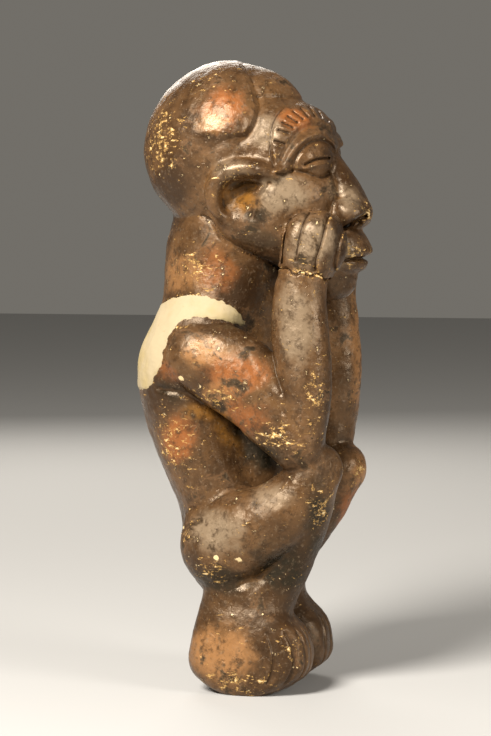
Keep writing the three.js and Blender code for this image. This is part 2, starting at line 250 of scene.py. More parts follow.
# ---- Trunk ----
# The pelvis, belly, chest and neck rise as one leaning mass, full at the shoulders, thick at the neck.
def trunk(p):
    """Level ovals up the leaning body, with the belly and chest before them and a hollow down the spine."""
    d = level_sections(p, [
        (29.5, -4.0, 14.0, 12.0), (36.0, -5.0, 18.5, 14.5), (44.0, -6.2, 20.0, 15.2),
        (57.0, -7.6, 20.0, 15.8), (65.0, -10.6, 20.4, 16.2), (77.8, -15.4, 21.5, 16.8),
        (93.3, -19.3, 22.6, 17.2), (106.0, -18.2, 24.2, 18.2), (116.8, -13.3, 23.2, 18.3),
        (123.3, -10.5, 20.4, 18.8), (133.0, -9.0, 18.6, 19.6), (142.0, -8.2, 18.4, 19.8),
        (147.0, -7.2, 18.0, 19.0), (152.0, -6.2, 17.4, 18.8), (162.0, -5.0, 15.0, 18.0)])
    belly = limb(p, [(0, 2.0, 60.0, 10.2, 9.0), (0, 2.6, 76.0, 10.6, 9.6), (0, -1.0, 95.5, 11.4, 9.2),
                     (0, 0.6, 111.5, 11.0, 8.4), (0, 2.2, 121.5, 10.0, 7.6)])
    d = blend(d, belly, 4.0)
    back = (p[:, 1] < -14) * np.clip((120 - p[:, 2]) / 16, 0, 1) * np.clip((p[:, 2] - 58) / 16, 0, 1)
    return d + 0.9 * back * np.exp(-((p[:, 0] / 3.2) ** 2))


# ---- Arms ----
# Each arm is bent hard at the elbow, which rests on the knee. The wood between upper arm and forearm
# is left in, hollowed a little, so that the two read as separate only from the side.
def arm(p, side):
    """One arm: upper arm and forearm as limbs, and the web left between them."""
    s = side
    upper = limb(p, [
        (s * 19.4, -13.4, 106.6, 9.2, 11.2), (s * 20.2, -4.0, 102.8, 9.0, 13.4),
        (s * 20.6, 5.0, 95.8, 8.4, 12.2), (s * 21.0, 13.2, 86.4, 7.8, 9.8),
        (s * 21.0, 20.0, 79.0, 7.8, 7.8)])
    fore = limb(p, [
        (s * 21.0, 20.2, 79.2, 7.8, 8.0), (s * 21.2, 21.2, 90.0, 8.0, 8.9),
        (s * 21.2, 21.6, 101.0, 7.9, 9.2), (s * 21.2, 20.8, 114.0, 7.6, 9.2),
        (s * 21.0, 20.6, 124.0, 7.0, 8.4), (s * 20.6, 21.6, 131.0, 6.6, 7.8)])
    web = limb(p, [(s * 19.8, 4.0, 103.4, 7.2, 8.2), (s * 20.4, 13.6, 93.4, 7.6, 9.2)])
    d = blend(blend(upper, web, 3.0), fore, 2.2)
    view = p[:, 1:]
    d = score(d, view, [(11.2, 112.5), (11.6, 110.0), (13.4, 105.4), (14.6, 101.5),
                        (17.0, 96.0)], 0.55, 0.9)
    d = score(d, view, [(5.6, 107.0), (8.0, 102.0), (11.0, 97.6), (14.6, 93.4), (17.4, 90.0)], 0.4, 1.1)
    return d


# ---- Head ----
# A long round skull under a close cap of hair, a broad face set well forward of the neck, heavy brows,
# slit eyes, a wide nose, thick lips and a small round chin. Every line on it is cut with a knife.
CAP = [(-60, 220), (-6, 220), (0.0, 197.0), (2.8, 192.0), (3.9, 188.8), (5.0, 184.6), (4.4, 181.0),
       (3.0, 177.6), (1.0, 175.6), (-3.0, 175.2), (-8.0, 174.8), (-13.0, 172.5), (-18.0, 167.0),
       (-23.0, 158.0), (-30.0, 151.0), (-60, 148)]
TUFT = [(-6, 220), (0.0, 197.0), (3.2, 191.0), (4.6, 188.0), (9.0, 188.0), (14.0, 187.9), (18.7, 187.5),
        (30, 187.5), (30, 220)]
BROW_NOTCHES = [
    ((10.8, 173.5), (13.9, 172.6)), ((12.0, 176.9), (15.0, 175.9)), ((13.3, 179.2), (16.4, 177.7)),
    ((15.0, 181.2), (18.0, 179.3)), ((16.8, 182.7), (19.8, 180.4)), ((19.3, 183.8), (21.6, 181.2)),
    ((22.0, 184.3), (23.8, 181.6)), ((24.6, 184.0), (26.0, 181.4)), ((27.0, 182.8), (28.2, 180.2))]


def head(p):
    """Skull, face and features, first as masses and then with the lines cut in the side view."""
    q = p.copy()
    q[:, 0] = np.abs(q[:, 0])
    v = side_view(p)
    skull = egg(q, (0, -6.8, 169.8), (23.4, 27.4, 28.8))
    skull = cut(skull, 0.863 * (q[:, 1] + 35.2) + 0.506 * (q[:, 2] - 166.5), 5.0)
    tuft = egg(q, (0, 3.0, 184.8), (15.0, 11.9, 10.3))
    face = level_sections(q, [
        (190.5, 0.0, 9.0, 9.0), (187.0, 2.0, 14.6, 13.4), (184.5, 4.2, 17.2, 16.2),
        (182.0, 5.4, 18.8, 17.8), (179.5, 6.2, 20.0, 19.2), (175.0, 6.8, 21.2, 20.6),
        (168.0, 6.6, 22.0, 20.6), (162.0, 6.4, 22.3, 20.0), (156.0, 7.6, 22.4, 19.2),
        (151.0, 9.4, 21.8, 18.0), (146.0, 12.0, 20.6, 16.2), (141.0, 15.6, 18.2, 13.8),
        (136.0, 20.5, 14.2, 9.6), (131.0, 23.4, 10.4, 7.6), (127.0, 25.2, 7.6, 6.2),
        (124.2, 25.6, 5.8, 4.6)], square=2.2)
    jaw_back = egg(q, (9.5, 3.6, 149.8), (12.7, 15.2, 11.8))
    jaw = blend(jaw_back, egg(q, (9.0, 11.5, 146.5), (12.4, 11.5, 10.6)), 3.0)
    muzzle = level_sections(q, [
        (149.0, 22.0, 10.0, 10.0), (145.0, 25.0, 11.2, 11.0), (142.0, 26.0, 11.6, 11.8),
        (139.6, 26.5, 11.4, 12.3), (138.2, 26.5, 11.0, 11.7), (137.0, 26.3, 10.4, 10.3),
        (135.8, 26.5, 10.5, 10.9), (134.0, 26.3, 10.0, 10.5), (132.0, 25.8, 8.8, 8.9),
        (129.5, 25.8, 7.3, 7.9), (127.0, 25.9, 6.6, 7.1), (124.0, 25.6, 5.4, 5.4)])
    nose = limb(q, [(0, 24.4, 169.0, 4.4, 3.4), (0, 27.4, 163.0, 5.4, 4.6), (0, 30.6, 157.0, 7.2, 5.4),
                    (0, 33.4, 151.6, 7.6, 5.5)])
    wing = egg(q, (7.2, 31.3, 151.0), (4.6, 6.4, 4.7))
    beside = egg(q, (9.0, 20.5, 156.5), (8.6, 8.6, 8.6))
    d = blend(blend(blend(skull, tuft, 2.5), face, 1.6), jaw, 2.0)
    # the hair stands a little proud, crisp at the temple and dying away behind
    ease = np.interp(v[:, 0], [-16, -4], [9.0, 1.5])
    cap_share = np.clip(0.5 - region(v, CAP) / ease, 0, 1)
    tuft_share = np.clip(0.5 - region(v, TUFT) / 1.2, 0, 1)
    d = d - 1.2 * cap_share - 0.6 * tuft_share
    d = d - 0.7 * bell(v, (-3.0, 183.5), (8.0, 8.5))
    d = score(d, v, [(3.2, 192.0), (4.9, 188.2), (6.0, 184.5), (5.4, 180.8), (4.0, 177.4), (2.0, 174.8),
                     (-0.4, 173.2)], 0.45, 1.2)
    d = blend(blend(d, beside, 5.0), muzzle, 2.0)
    d = blend(d, blend(nose, wing, 1.6), 1.8)
    # the ear: a thick rim like a hook, open to the front and below, with a deep hollow under it
    rim = limb(q, [
        (21.4, 12.2, 163.3, 2.4, 1.7), (22.6, 8.6, 164.4, 2.8, 2.3), (23.3, 3.6, 165.0, 3.0, 2.8),
        (23.6, -1.0, 164.2, 3.0, 3.0), (23.6, -4.4, 161.8, 3.0, 3.0), (23.4, -6.3, 158.4, 3.0, 2.8),
        (22.8, -6.4, 154.8, 2.8, 2.5), (21.8, -5.4, 151.6, 2.4, 2.1), (20.4, -3.2, 149.6, 2.0, 1.6)])
    d = blend(d, rim, 2.2)
    d = cut(d, limb(q, [(25.0, -1.6, 157.2, 5.0, 1.7), (25.0, 3.0, 158.9, 6.6, 2.3),
                        (24.6, 6.4, 159.7, 5.0, 1.8), (24.2, 8.2, 160.2, 3.4, 1.0)]), 0.9)
    d = d + 1.5 * bell(v, (-1.2, 154.2), (4.2, 3.8)) * (q[:, 0] > 12)
    d = score(d, v, [(9.0, 160.3), (7.8, 158.4), (6.4, 156.4), (4.6, 153.3), (3.6, 150.4)], 0.7, 1.1)
    d = d - 0.6 * bell(v, (14.5, 156.5), (7.5, 5.5))
    # brow pad, ridge over the eye, and the furrows between them
    d = score(d, v, [(11.4, 169.0), (12.4, 174.5), (15.2, 179.4), (19.0, 182.0), (24.0, 182.2),
                     (28.6, 179.6)], -0.7, 2.6)
    d = score(d, v, [(10.4, 165.4), (9.4, 170.0), (9.4, 174.0), (10.0, 178.0), (11.6, 181.5),
                     (14.5, 184.4), (18.0, 186.0)], 0.45, 0.5)
    d = score(d, v, [(12.9, 168.0), (15.6, 172.8), (18.8, 176.2), (22.4, 178.2), (26.4, 178.2),
                     (29.6, 175.8)], 0.75, 1.2)
    d = score(d, v, [(11.8, 164.2), (13.8, 165.6), (15.4, 168.8), (18.0, 172.0), (21.0, 174.6),
                     (24.6, 176.0), (27.6, 175.5), (30.2, 173.2)], -1.1, 1.4)
    d = score(d, v, [(16.2, 163.8), (17.2, 167.8), (19.2, 170.9), (22.0, 173.2), (25.6, 173.9),
                     (28.6, 172.7), (30.3, 170.6)], 0.8, 0.8)
    for start, end in BROW_NOTCHES:
        d = score(d, v, [start, end], 0.9, 0.5)
    # eye: a full lid, closed to a slit
    d = d - 1.5 * bell(v, (23.8, 168.2), (5.4, 3.8))
    d = score(d, v, [(20.6, 166.2), (22.2, 167.1), (24.3, 167.9), (26.4, 168.3),
                     (28.3, 168.5)], 1.2, 0.42)
    d = score(d, v, [(20.2, 165.2), (22.4, 165.6), (24.8, 166.2), (27.6, 166.7)], -0.5, 0.8)
    d = score(d, v, [(17.6, 164.4), (20.8, 163.6), (23.6, 162.6), (26.2, 162.3), (28.0, 163.8)], 0.9, 0.9)
    d = score(d, v, [(11.6, 163.3), (13.8, 163.3), (16.2, 164.4)], 1.0, 0.6)
    # fold from the nose to the mouth, nostrils, mouth and chin
    d = score(d, v, [(26.4, 162.0), (27.8, 157.6), (30.0, 152.6), (32.0, 149.0), (32.8, 146.2)], 0.5, 1.8)
    d = score(d, v, [(33.2, 146.4), (35.6, 148.1), (38.0, 149.5), (40.4, 150.3)], 1.6, 0.7)
    d = cut(d, egg(q, (4.4, 34.0, 147.4), (1.9, 3.4, 1.6)), 0.8)
    d = score(d, v, [(31.2, 136.2), (33.6, 136.6), (36.0, 136.9), (38.6, 137.1),
                     (41.4, 137.4)], 1.2, 0.42)
    d = score(d, v, [(32.4, 133.4), (35.0, 132.4), (38.4, 132.3)], 0.5, 1.0)
    return d


# ---- Hands ----
# Each hand is laid flat against the jaw with its fingers up, a rounded block with the fingers scored apart.
HAND = [(13.2, 134.6), (14.4, 142.0), (16.2, 148.2), (19.0, 150.8), (23.2, 151.9), (26.9, 152.0),
        (29.8, 151.4), (32.2, 149.8), (34.0, 147.0), (34.8, 143.4), (34.3, 138.4), (32.6, 133.8),
        (30.0, 131.0), (25.0, 130.2), (17.0, 131.2), (13.2, 134.6)]
# Each line between fingers, and its depth
FINGERS = [
    ([(17.6, 149.2), (16.6, 145.0), (15.9, 140.5), (15.4, 135.6)], 1.1),
    ([(23.8, 151.0), (22.4, 145.0), (20.9, 137.0)], 0.6),
    ([(29.6, 150.6), (29.5, 146.4), (28.4, 141.2), (27.2, 137.6), (26.6, 133.6)], 0.8),
    ([(33.4, 148.6), (33.2, 143.0), (32.3, 137.6), (30.8, 132.0)], 0.6)]
LEFT_HAND_BACK = 4.0


def hand(p, side):
    """One hand: a domed slab with a rounded outline, and the lines between its fingers."""
    f, z = p[:, 1] + (LEFT_HAND_BACK if side > 0 else 0.0), p[:, 2]
    view = np.column_stack([f, z])
    outline = region(view, smooth_path(HAND, 3))
    dome = 27.9 - 2.6 * ((f - 23.0) / 11) ** 2 - 1.2 * ((z - 141.0) / 10) ** 2
    d = cut(outline, dome - p[:, 0] * side, 7.0)
    for line, depth in FINGERS:
        d = score(d, view, line, depth, 0.55)
        d = score(d, view, line, 0.3, 1.8)
    return cut(d, p[:, 0] * side - 15.5, 1.0)


# ---- Shoulder fill ----
# A loss over the right shoulder, made good with a smooth cream paste that ends in a thin, ragged edge.
FILL = [(-60, 128), (-27.5, 121.5), (-23.4, 124.0), (-19.0, 125.3), (-12.6, 125.4), (-8.4, 124.2),
        (-4.0, 122.6), (0.0, 119.3), (1.3, 116.3), (0.0, 115.9), (-5.2, 117.6), (-11.0, 118.6),
        (-14.2, 119.0), (-19.0, 117.8), (-21.4, 115.8), (-24.0, 111.6), (-25.4, 107.0), (-26.0, 103.0),
        (-28.2, 100.2), (-29.2, 97.4), (-30.4, 95.8), (-33, 95.2), (-60, 94)]
FILL_DEPTH = 4.2


# ---- Cutting the block ----
# The masses are joined as one block, its surface is given the unevenness of hand work, and it is then
# divided along its creases into the pieces of the model, so that the pieces meet with no step or gap.
NAMES = ["trunk", "head", "right_hand", "left_hand", "right_arm", "left_arm", "right_leg", "left_leg"]
WRIST = [(10.4, 135.4), (12.6, 133.9), (14.5, 134.4), (17.0, 132.3), (19.4, 133.0), (22.0, 131.8),
         (24.4, 132.4), (26.4, 130.8), (28.5, 130.9)]
ARM_EDGE = [(-25.0, 96.2), (-17.0, 95.0), (-10.0, 91.0), (-3.0, 86.5), (1.5, 83.5)]
JAW_LINE = [(-12.6, 150.4), (-9.2, 148.2), (-6.8, 144.4), (-2.0, 141.2), (3.4, 138.4), (8.2, 136.6),
            (12, 134.6)]


def block(world):
    """Distance to the whole figure, the distances to its separate masses, and the gap to the fill."""
    p = world * np.array([1, -1, 1])
    parts = [
        only(p, 0, 28, 164, trunk), only(p, 0, 122, 202, head),
        only(p, -1, 130, 154, lambda q: hand(q, -1)), only(p, 1, 130, 154, lambda q: hand(q, 1)),
        only(p, -1, 70, 142, lambda q: arm(q, -1)), only(p, 1, 70, 142, lambda q: arm(q, 1)),
        only(p, -1, -4, 79, lambda q: leg(q, -1)), only(p, 1, -4, 79, lambda q: leg(q, 1))]
    t, h, rh, lh, ra, la, rl, ll = parts
    legs = blend(rl, ll, 1.2)
    d = blend(blend(t, legs, 2.6), blend(ra, la, 0.5), 1.4)
    d = score(d, p[:, 1:], ARM_EDGE, 0.7, 1.1)
    d = blend(d, h, 1.0)
    # the crease under the jaw and at the nape
    view = side_view(p)
    d = score(d, view, JAW_LINE, 0.7, 0.8)
    d = blend(d, blend(rh, lh, 0.5), 0.7)
    # the line cut round the wrist
    d = score(d, view, WRIST, 0.7, 0.3)
    near = np.abs(d) < 3
    q = p[near]
    d[near] += 0.16 * waves(q, 11, 1) + 0.07 * waves(q, 4.5, 2) + 0.03 * waves(q, 1.8, 3)
    # the fill stands a little proud of the wood
    gap = np.full(len(p), FAR)
    some = (d < 3) & (p[:, 0] < 0) & (p[:, 1] < 12) & (p[:, 2] > 88) & (p[:, 2] < 132)
    q = p[some]
    outline = region(side_view(q), FILL)
    d[some] -= 0.22 * np.clip(-outline / 0.7, 0, 1)
    ragged = 0.28 * waves(q, 2.6, 5) + 0.12 * waves(q, 0.9, 6)
    spine = q[:, 0] + 6.5 + 1.5 * waves(q, 9.0, 7)
    gap[some] = np.maximum(np.maximum(outline + ragged, spine), -d[some] - FILL_DEPTH)
    return np.maximum(d, -p[:, 2]), parts, gap


def piece_field(name):
    """The distance to one piece, as the larger of the distance to the block and the distance to its share:
    the half difference between its own mass and the nearest other."""

    def wood_and_share(world):
        d, parts, gap = block(world)
        if name == "shoulder_fill":
            return d, gap
        own = NAMES.index(name)
        others = np.min([part for i, part in enumerate(parts) if i != own], axis=0)
        return d, np.maximum((parts[own] - others) / 2, -gap)

    return wood_and_share


def by_parts(function, points, size=30000):
    """The function's answers for a long list of points, worked out in short lists on several threads."""
    lists = [points[i : i + size] for i in range(0, len(points), size)]
    with ThreadPoolExecutor(4) as pool:
        return [np.concatenate(column) for column in zip(*pool.map(function, lists))]


def skin(field, low, high, voxel):
    """A closed mesh of quads where the field is zero. A vertex stands in each grid cell that the surface
    crosses, at the mean of the crossings with the cell's edges, and each crossed grid edge gets the quad
    that joins the four cells round it. Only blocks of cells near the surface are worked out in full."""
    group = 6
    blocks = np.ceil((high - low) / voxel / group).astype(int) + 1
    index = np.stack(np.meshgrid(*[np.arange(n) for n in blocks], indexing="ij"), -1).reshape(-1, 3)
    middles = low + voxel * (index * group + (group - 1) / 2)
    rough = np.maximum(*by_parts(field, middles))
    grid = np.repeat(np.repeat(np.repeat(rough.reshape(blocks), group, 0), group, 1), group, 2)
    active = index[np.abs(rough) < voxel * group * 1.35 + 0.6]
    offsets = np.stack(np.meshgrid(*[np.arange(group)] * 3, indexing="ij"), -1).reshape(-1, 3)
    fine = (active[:, None] * group + offsets).reshape(-1, 3)
    grid[tuple(fine.T)] = np.maximum(*by_parts(field, low + voxel * fine))
    inside = grid < 0
    for axis in range(3):
        edge = np.moveaxis(inside, axis, 0)
        edge[0] = edge[-1] = False
    grid = np.where(inside, np.minimum(grid, -1e-6), np.maximum(grid, 1e-6))
    cells = tuple(n - 1 for n in grid.shape)
    corners = [(i, j, k) for i in (0, 1) for j in (0, 1) for k in (0, 1)]
    shifted = [tuple(slice(start, start + n) for start, n in zip(corner, cells)) for corner in corners]
    total = sum(inside[part].astype(np.int8) for part in shifted)
    place = np.argwhere((total > 0) & (total < 8))
    number = np.full(cells, -1, np.int32)
    number[tuple(place.T)] = np.arange(len(place))
    sums, count = np.zeros((len(place), 3)), np.zeros(len(place))
    for a in corners:
        for axis in range(3):
            if a[axis] == 0:
                step = np.eye(3, dtype=int)[axis]
                va, vb = grid[tuple((place + a).T)], grid[tuple((place + a + step).T)]
                crossed = (va < 0) != (vb < 0)
                share = np.where(crossed, va / np.where(crossed, va - vb, 1), 0)
                sums += crossed[:, None] * (np.array(a) + share[:, None] * step)
                count += crossed
    points = low + voxel * (place + sums / count[:, None])
    quads = []
    for axis, (u, w) in enumerate(((1, 2), (2, 0), (0, 1))):
        first = np.take(inside, range(grid.shape[axis] - 1), axis)
        second = np.take(inside, range(1, grid.shape[axis]), axis)
        edge = np.argwhere(first != second)
        outward = first[tuple(edge.T)]
        ring = []
        for du, dw in ((-1, -1), (0, -1), (0, 0), (-1, 0)):
            cell = edge.copy()
            cell[:, u] += du
            cell[:, w] += dw
            ring.append(number[tuple(cell.T)])
        ring = np.column_stack(ring)
        quads.append(np.where(outward[:, None], ring, ring[:, ::-1]))
    return points, np.vstack(quads)


def slope(function, points, step=0.2):
    """The function's values at the points, and its slopes along the three axes by differences over step."""
    here = by_parts(function, points)
    ahead = [by_parts(function, points + step * axis) for axis in np.eye(3)]
    return [(h, np.column_stack([a[i] - h for a in ahead]) / step) for i, h in enumerate(here)]


def finish_surface(field, points, voxel, rounds=2):
    """Moves each vertex on to the block's surface, or the wall of its piece, or both where they meet, by
    the distance left over the slope. Returns the points and the outward direction at each."""
    for _ in range(rounds):
        sides = slope(field, points)
        moved = points
        for value, rise in sides:
            # what is left of this distance after the move already made
            value = value + ((moved - points) * rise).sum(1)
            move = value[:, None] * rise / np.maximum((rise**2).sum(1), 0.25)[:, None]
            move *= np.minimum(1, 0.6 * voxel / np.maximum(np.linalg.norm(move, axis=1), 1e-9))[:, None]
            moved = moved - np.where(np.abs(value)[:, None] < 0.9 * voxel, move, 0)
        points = moved
    (wood, out), (_, share) = sides
    return points, unit(np.where((np.abs(wood) < voxel)[:, None], out, share))


def soften(values, edges, rounds):
    """Each value replaced, again and again, by the mean of its neighbours'."""
    count = np.bincount(edges.ravel(), minlength=len(values))[:, None]
    for _ in range(rounds):
        total = np.column_stack([
            np.bincount(edges[:, 0], column[edges[:, 1]], len(values))
            + np.bincount(edges[:, 1], column[edges[:, 0]], len(values)) for column in values.T])
        values = total / count
    return values


ROOM = 4.5  # searched past the piece's own box on every side


def make_piece(name, voxel):
    """One piece of the block as a mesh object, with how hollow or proud each vertex lies, in millimetres:
    `hollow` against its close neighbours, `cavity` against the wider surface round it."""
    low, high = (np.array(corner) * 1000 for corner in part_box(name))
    field = piece_field(name)
    points, quads = skin(field, low - ROOM, high + ROOM, voxel)
    points, normals = finish_surface(field, points, voxel)
    edges = np.vstack([quads[:, [0, 1]], quads[:, [1, 2]], quads[:, [2, 3]], quads[:, [3, 0]]])
    fine = ((soften(points, edges, max(2, int(4 / voxel**2 / 6))) - points) * normals).sum(1)
    broad = ((soften(points, edges, max(4, int(30 / voxel**2 / 6))) - points) * normals).sum(1)
    mesh = bpy.data.meshes.new(name)
    mesh.vertices.add(len(points))
    mesh.vertices.foreach_set("co", (points / 1000).astype(np.float32).ravel())
    mesh.loops.add(quads.size)
    mesh.loops.foreach_set("vertex_index", quads.astype(np.int32).ravel())
    mesh.polygons.add(len(quads))
    mesh.polygons.foreach_set("loop_start", np.arange(0, quads.size, 4, dtype=np.int32))
    mesh.polygons.foreach_set("use_smooth", np.ones(len(quads), bool))
    for label, values in (("hollow", fine), ("cavity", broad)):
        mesh.attributes.new(label, "FLOAT", "POINT").data.foreach_set("value", values.astype(np.float32))
    mesh.update(calc_edges=True)
    mesh.validate()
    mesh.normals_split_custom_set_from_vertices(normals.astype(np.float32))
    piece = bpy.data.objects.new(name + "_carving", mesh)
    bpy.context.scene.collection.objects.link(piece)
    return piece


# ---- Patina ----
# Dark oiled and smoked wood, handled for years: rubbed red-brown where hands have held it, dusty where they
# have not, with chips down to pale wood and golden dirt in the hollows. Shade is painted on it, near black
# under the limbs and at the bottom of the hollows, and two painted highlights stand on the right thigh.
DARK, BROWN, RED = (0.028, 0.013, 0.005, 1), (0.105, 0.053, 0.021, 1), (0.23, 0.075, 0.019, 1)
AMBER, DUST, BLACK = (0.28, 0.135, 0.050, 1), (0.195, 0.140, 0.088, 1), (0.006, 0.005, 0.002, 1)
DIRT, GOLD, CREAM = (0.20, 0.088, 0.016, 1), (0.46, 0.27, 0.080, 1), (0.74, 0.57, 0.31, 1)


def node(tree, kind, values, out=0, **settings):
    """A new node with its settings and inputs, each input a value or another node's output. Returns its
    output."""
    new = tree.nodes.new("ShaderNode" + kind)
    for name, value in settings.items():
        setattr(new, name, value)
    for name, value in values.items():
        if isinstance(value, bpy.types.NodeSocket):
            tree.links.new(value, new.inputs[name])
        else:
            new.inputs[name].default_value = value
    return new.outputs[out]


def noise(tree, place, size, detail=4.0, rough=0.55, twist=0.0):
    """Cloudy noise with features of about one size, in millimetres: 0.5 on average."""
    values = {
        "Vector": place, "Scale": 500 / size, "Detail": detail, "Roughness": rough, "Distortion": twist}
    return node(tree, "TexNoise", values)


def ramp(tree, value, low, high, bottom=0.0, top=1.0):
    """A value carried smoothly from bottom at low to top at high."""
    values = {0: value, 1: low, 2: high, 3: bottom, 4: top}
    return node(tree, "MapRange", values, interpolation_type="SMOOTHSTEP")


def sums(tree, operation, first, second):
    """Two values put together by a named operation, such as ADD or MULTIPLY."""
    return node(tree, "Math", {0: first, 1: second}, operation=operation)


def tint(tree, share, under, over):
    """One colour laid over another by a share from 0 to 1."""
    return node(tree, "Mix", {0: share, 6: under, 7: over}, out=2, data_type="RGBA")


def spot(tree, place, middle, size):
    """1 at the middle of an egg-shaped place, 0 at its rim. Middle and size are (left, forward, up), in
    millimetres."""
    x, f, z = middle
    offset = node(tree, "VectorMath", {0: place, 1: (x / 1000, -f / 1000, z / 1000)}, operation="SUBTRACT")
    share = node(tree, "VectorMath", {0: offset, 1: tuple(v / 1000 for v in size)}, operation="DIVIDE")
    return ramp(tree, node(tree, "VectorMath", {0: share}, out=1, operation="LENGTH"), 1.0, 0.0)


# Where each colour lies, the later ones lying over the earlier; the BLACK and DARK patches are painted
# shade: (colour, strength, middle, size), the last two as (left, forward, up), in millimetres
PATCHES = [
    # rubbed bare by hands
    (RED, 0.95, (-20, -4, 183), (16, 11, 12)), (RED, 0.8, (-16, 19, 181), (10, 12, 7)),
    (AMBER, 0.8, (-24, -7, 179), (10, 8, 6)), (AMBER, 0.9, (-27, -8, 108), (9, 13, 8)),
    (RED, 0.95, (-27, 2, 101), (10, 17, 10)), (RED, 0.8, (-24, -22, 100), (10, 10, 8)),
    (RED, 0.9, (-20, -19, 80), (14, 10, 13)), (RED, 0.8, (-24, 4, 89), (12, 18, 10)),
    (AMBER, 0.9, (24, 29, 105), (14, 10, 36)), (AMBER, 1.0, (17, 31, 68), (13, 10, 14)),
    (RED, 0.9, (16, 27, 56), (10, 10, 16)), (RED, 0.6, (-15, 18, 46), (10, 8, 14)),
    (RED, 0.7, (-4, 24, 130), (7, 8, 8)), (AMBER, 0.55, (-14, -18, 132), (16, 16, 11)),
    (RED, 0.6, (-20, -6, 134), (10, 12, 12)), (AMBER, 0.9, (-24, -4, 14), (12, 22, 15)),
    (AMBER, 0.6, (-26, -4, 96), (8, 9, 8)), (RED, 0.6, (20, -20, 180), (14, 14, 14)),
    (RED, 0.7, (26, 0, 100), (10, 16, 12)), (RED, 0.6, (0, -36, 84), (16, 10, 20)),
    (AMBER, 0.6, (24, 4, 12), (12, 18, 12)), (RED, 0.6, (8, 18, 190), (14, 14, 10)),
    # dusty, where hands do not reach
    (DUST, 1.0, (-21, 15, 157), (12, 14, 10)), (DUST, 0.95, (-25, 25, 142), (10, 13, 12)),
    (DUST, 0.9, (-27, 21, 117), (10, 11, 22)), (DUST, 0.8, (-20, 10, 176), (10, 8, 10)),
    (DUST, 0.85, (-10, 34, 158), (10, 10, 10)), (DUST, 0.8, (-12, 32, 138), (10, 10, 9)),
    (DUST, 1.0, (-24, -2, 52), (12, 19, 12)), (DUST, 0.75, (-24, 14, 63), (9, 12, 8)),
    (DUST, 0.6, (-24, 0, 165), (8, 12, 6)), (DUST, 0.7, (21, 14, 152), (12, 16, 14)),
    (DUST, 0.7, (27, 20, 110), (9, 8, 22)), (DUST, 0.7, (24, 4, 55), (11, 18, 12)),
    # painted shade, near black, under and behind the limbs, in the ears, at the nape and in the gap between
    # arm, body and thigh (the BLACK and DARK patches), and golden dirt round the ear and in the creases by
    # the arm and neck (the DIRT patches)
    (DIRT, 1.0, (-22, 2, 156), (8, 10, 7)), (BLACK, 1.0, (-21, 3.4, 159.6), (8, 8, 4)),
    (DIRT, 0.9, (-16, -2, 84), (14, 9, 14)), (DIRT, 0.9, (-12, 10, 124), (8, 6, 16)),
    (DIRT, 0.8, (-22, -8, 89), (10, 14, 5)), (BLACK, 1.0, (21, 3.4, 159.6), (8, 8, 4)),
    (BLACK, 1.0, (-20, 25, 62), (12, 9, 16)), (BLACK, 0.9, (-22, 12, 77), (12, 13, 8)),
    (BLACK, 0.9, (-24, -3, 36), (14, 16, 8)), (BLACK, 0.8, (-16, 26, 48), (9, 8, 9)),
    (BLACK, 0.7, (-24, -24, 160), (10, 10, 10)), (BLACK, 0.6, (24, 10, 78), (12, 13, 9)),
    (BLACK, 1.0, (-9, -2, 83), (10, 13, 10)), (BLACK, 1.0, (-9, 7, 77), (9, 14, 14)),
    (BLACK, 1.0, (9, 7, 77), (9, 14, 14)), (BLACK, 0.7, (22, -3, 36), (14, 16, 8)),
    (DARK, 0.95, (-22, -25, 95), (18, 13, 14)), (DARK, 0.8, (-26, 18, 96), (8, 10, 7)),
    (BLACK, 1.0, (-20, 14, 42), (20, 16, 15)), (DARK, 1.0, (-15, -22, 160), (16, 13, 12)),
    (DARK, 0.6, (-24, 16, 90), (10, 16, 5)), (BLACK, 0.8, (-22, -20, 96), (12, 9, 7)),
    (BLACK, 0.6, (-20, 8, 143), (10, 12, 5)), (BLACK, 0.7, (-15, 12, 39), (10, 8, 9)),
    (BLACK, 0.6, (0, 30, 140), (8, 5, 12)),
]
# Where the surface has chipped most: (strength, middle, size)
CHIPPED = [
    (1.0, (-20, -26, 176), (18, 16, 20)), (0.7, (-22, -10, 196), (20, 16, 12)),
    (0.9, (-22, -22, 78), (14, 16, 18)), (0.8, (-24, -18, 57), (14, 10, 16)),
    (0.9, (-28, 28, 96), (8, 6, 20)), (1.0, (-26, 16, 82), (12, 16, 9)),
    (0.9, (-22, 28, 60), (9, 9, 14)), (0.8, (-26, 2, 5), (12, 24, 7)),
    (0.75, (-20, -14, 134), (14, 16, 12)), (0.9, (-2, 38, 152), (12, 6, 6)),
    (0.9, (-8, 36, 138), (10, 7, 8)), (0.8, (-26, -4, 94), (8, 18, 9)),
    (0.7, (-25, 24, 134), (8, 12, 5)), (0.8, (-22, -6, 40), (14, 12, 9)),
    (0.8, (20, -24, 170), (20, 18, 24)), (0.8, (20, -20, 75), (16, 18, 22)),
    (0.8, (26, 22, 92), (10, 10, 18)), (0.7, (24, 2, 5), (14, 24, 7)), (0.7, (0, -30, 60), (20, 14, 16)),
    (0.7, (14, 32, 66), (10, 7, 12)), (0.6, (-24, 20, 16), (10, 12, 12)),
    (0.7, (-24, -2, 160), (6, 14, 8)),
]
# Small cream spots: two low on the right thigh, which are painted highlights, and one behind the right
# upper arm: (middle, size)
THIGH_HIGHLIGHTS_AND_ARM_SPOT = [((-26, -4.4, 43.9), (9, 1.7, 1.6)), ((-26, 2.6, 43.5), (9, 2.3, 1.6)),
                ((-27, -16.0, 99.8), (9, 2.2, 1.4))]

patina = bpy.data.materials.new("patina")
patina.use_nodes = True
tree = patina.node_tree
place = node(tree, "TexCoord", {}, out=3)
hollow = node(tree, "Attribute", {}, out=2, attribute_name="hollow")
cavity = node(tree, "Attribute", {}, out=2, attribute_name="cavity")
clouds, streaks = noise(tree, place, 16, 5, 0.6, 0.6), noise(tree, place, 5, 5, 0.65, 0.4)
specks, grain = noise(tree, place, 1.5, 5, 0.7), noise(tree, place, 0.55, 3, 0.6)

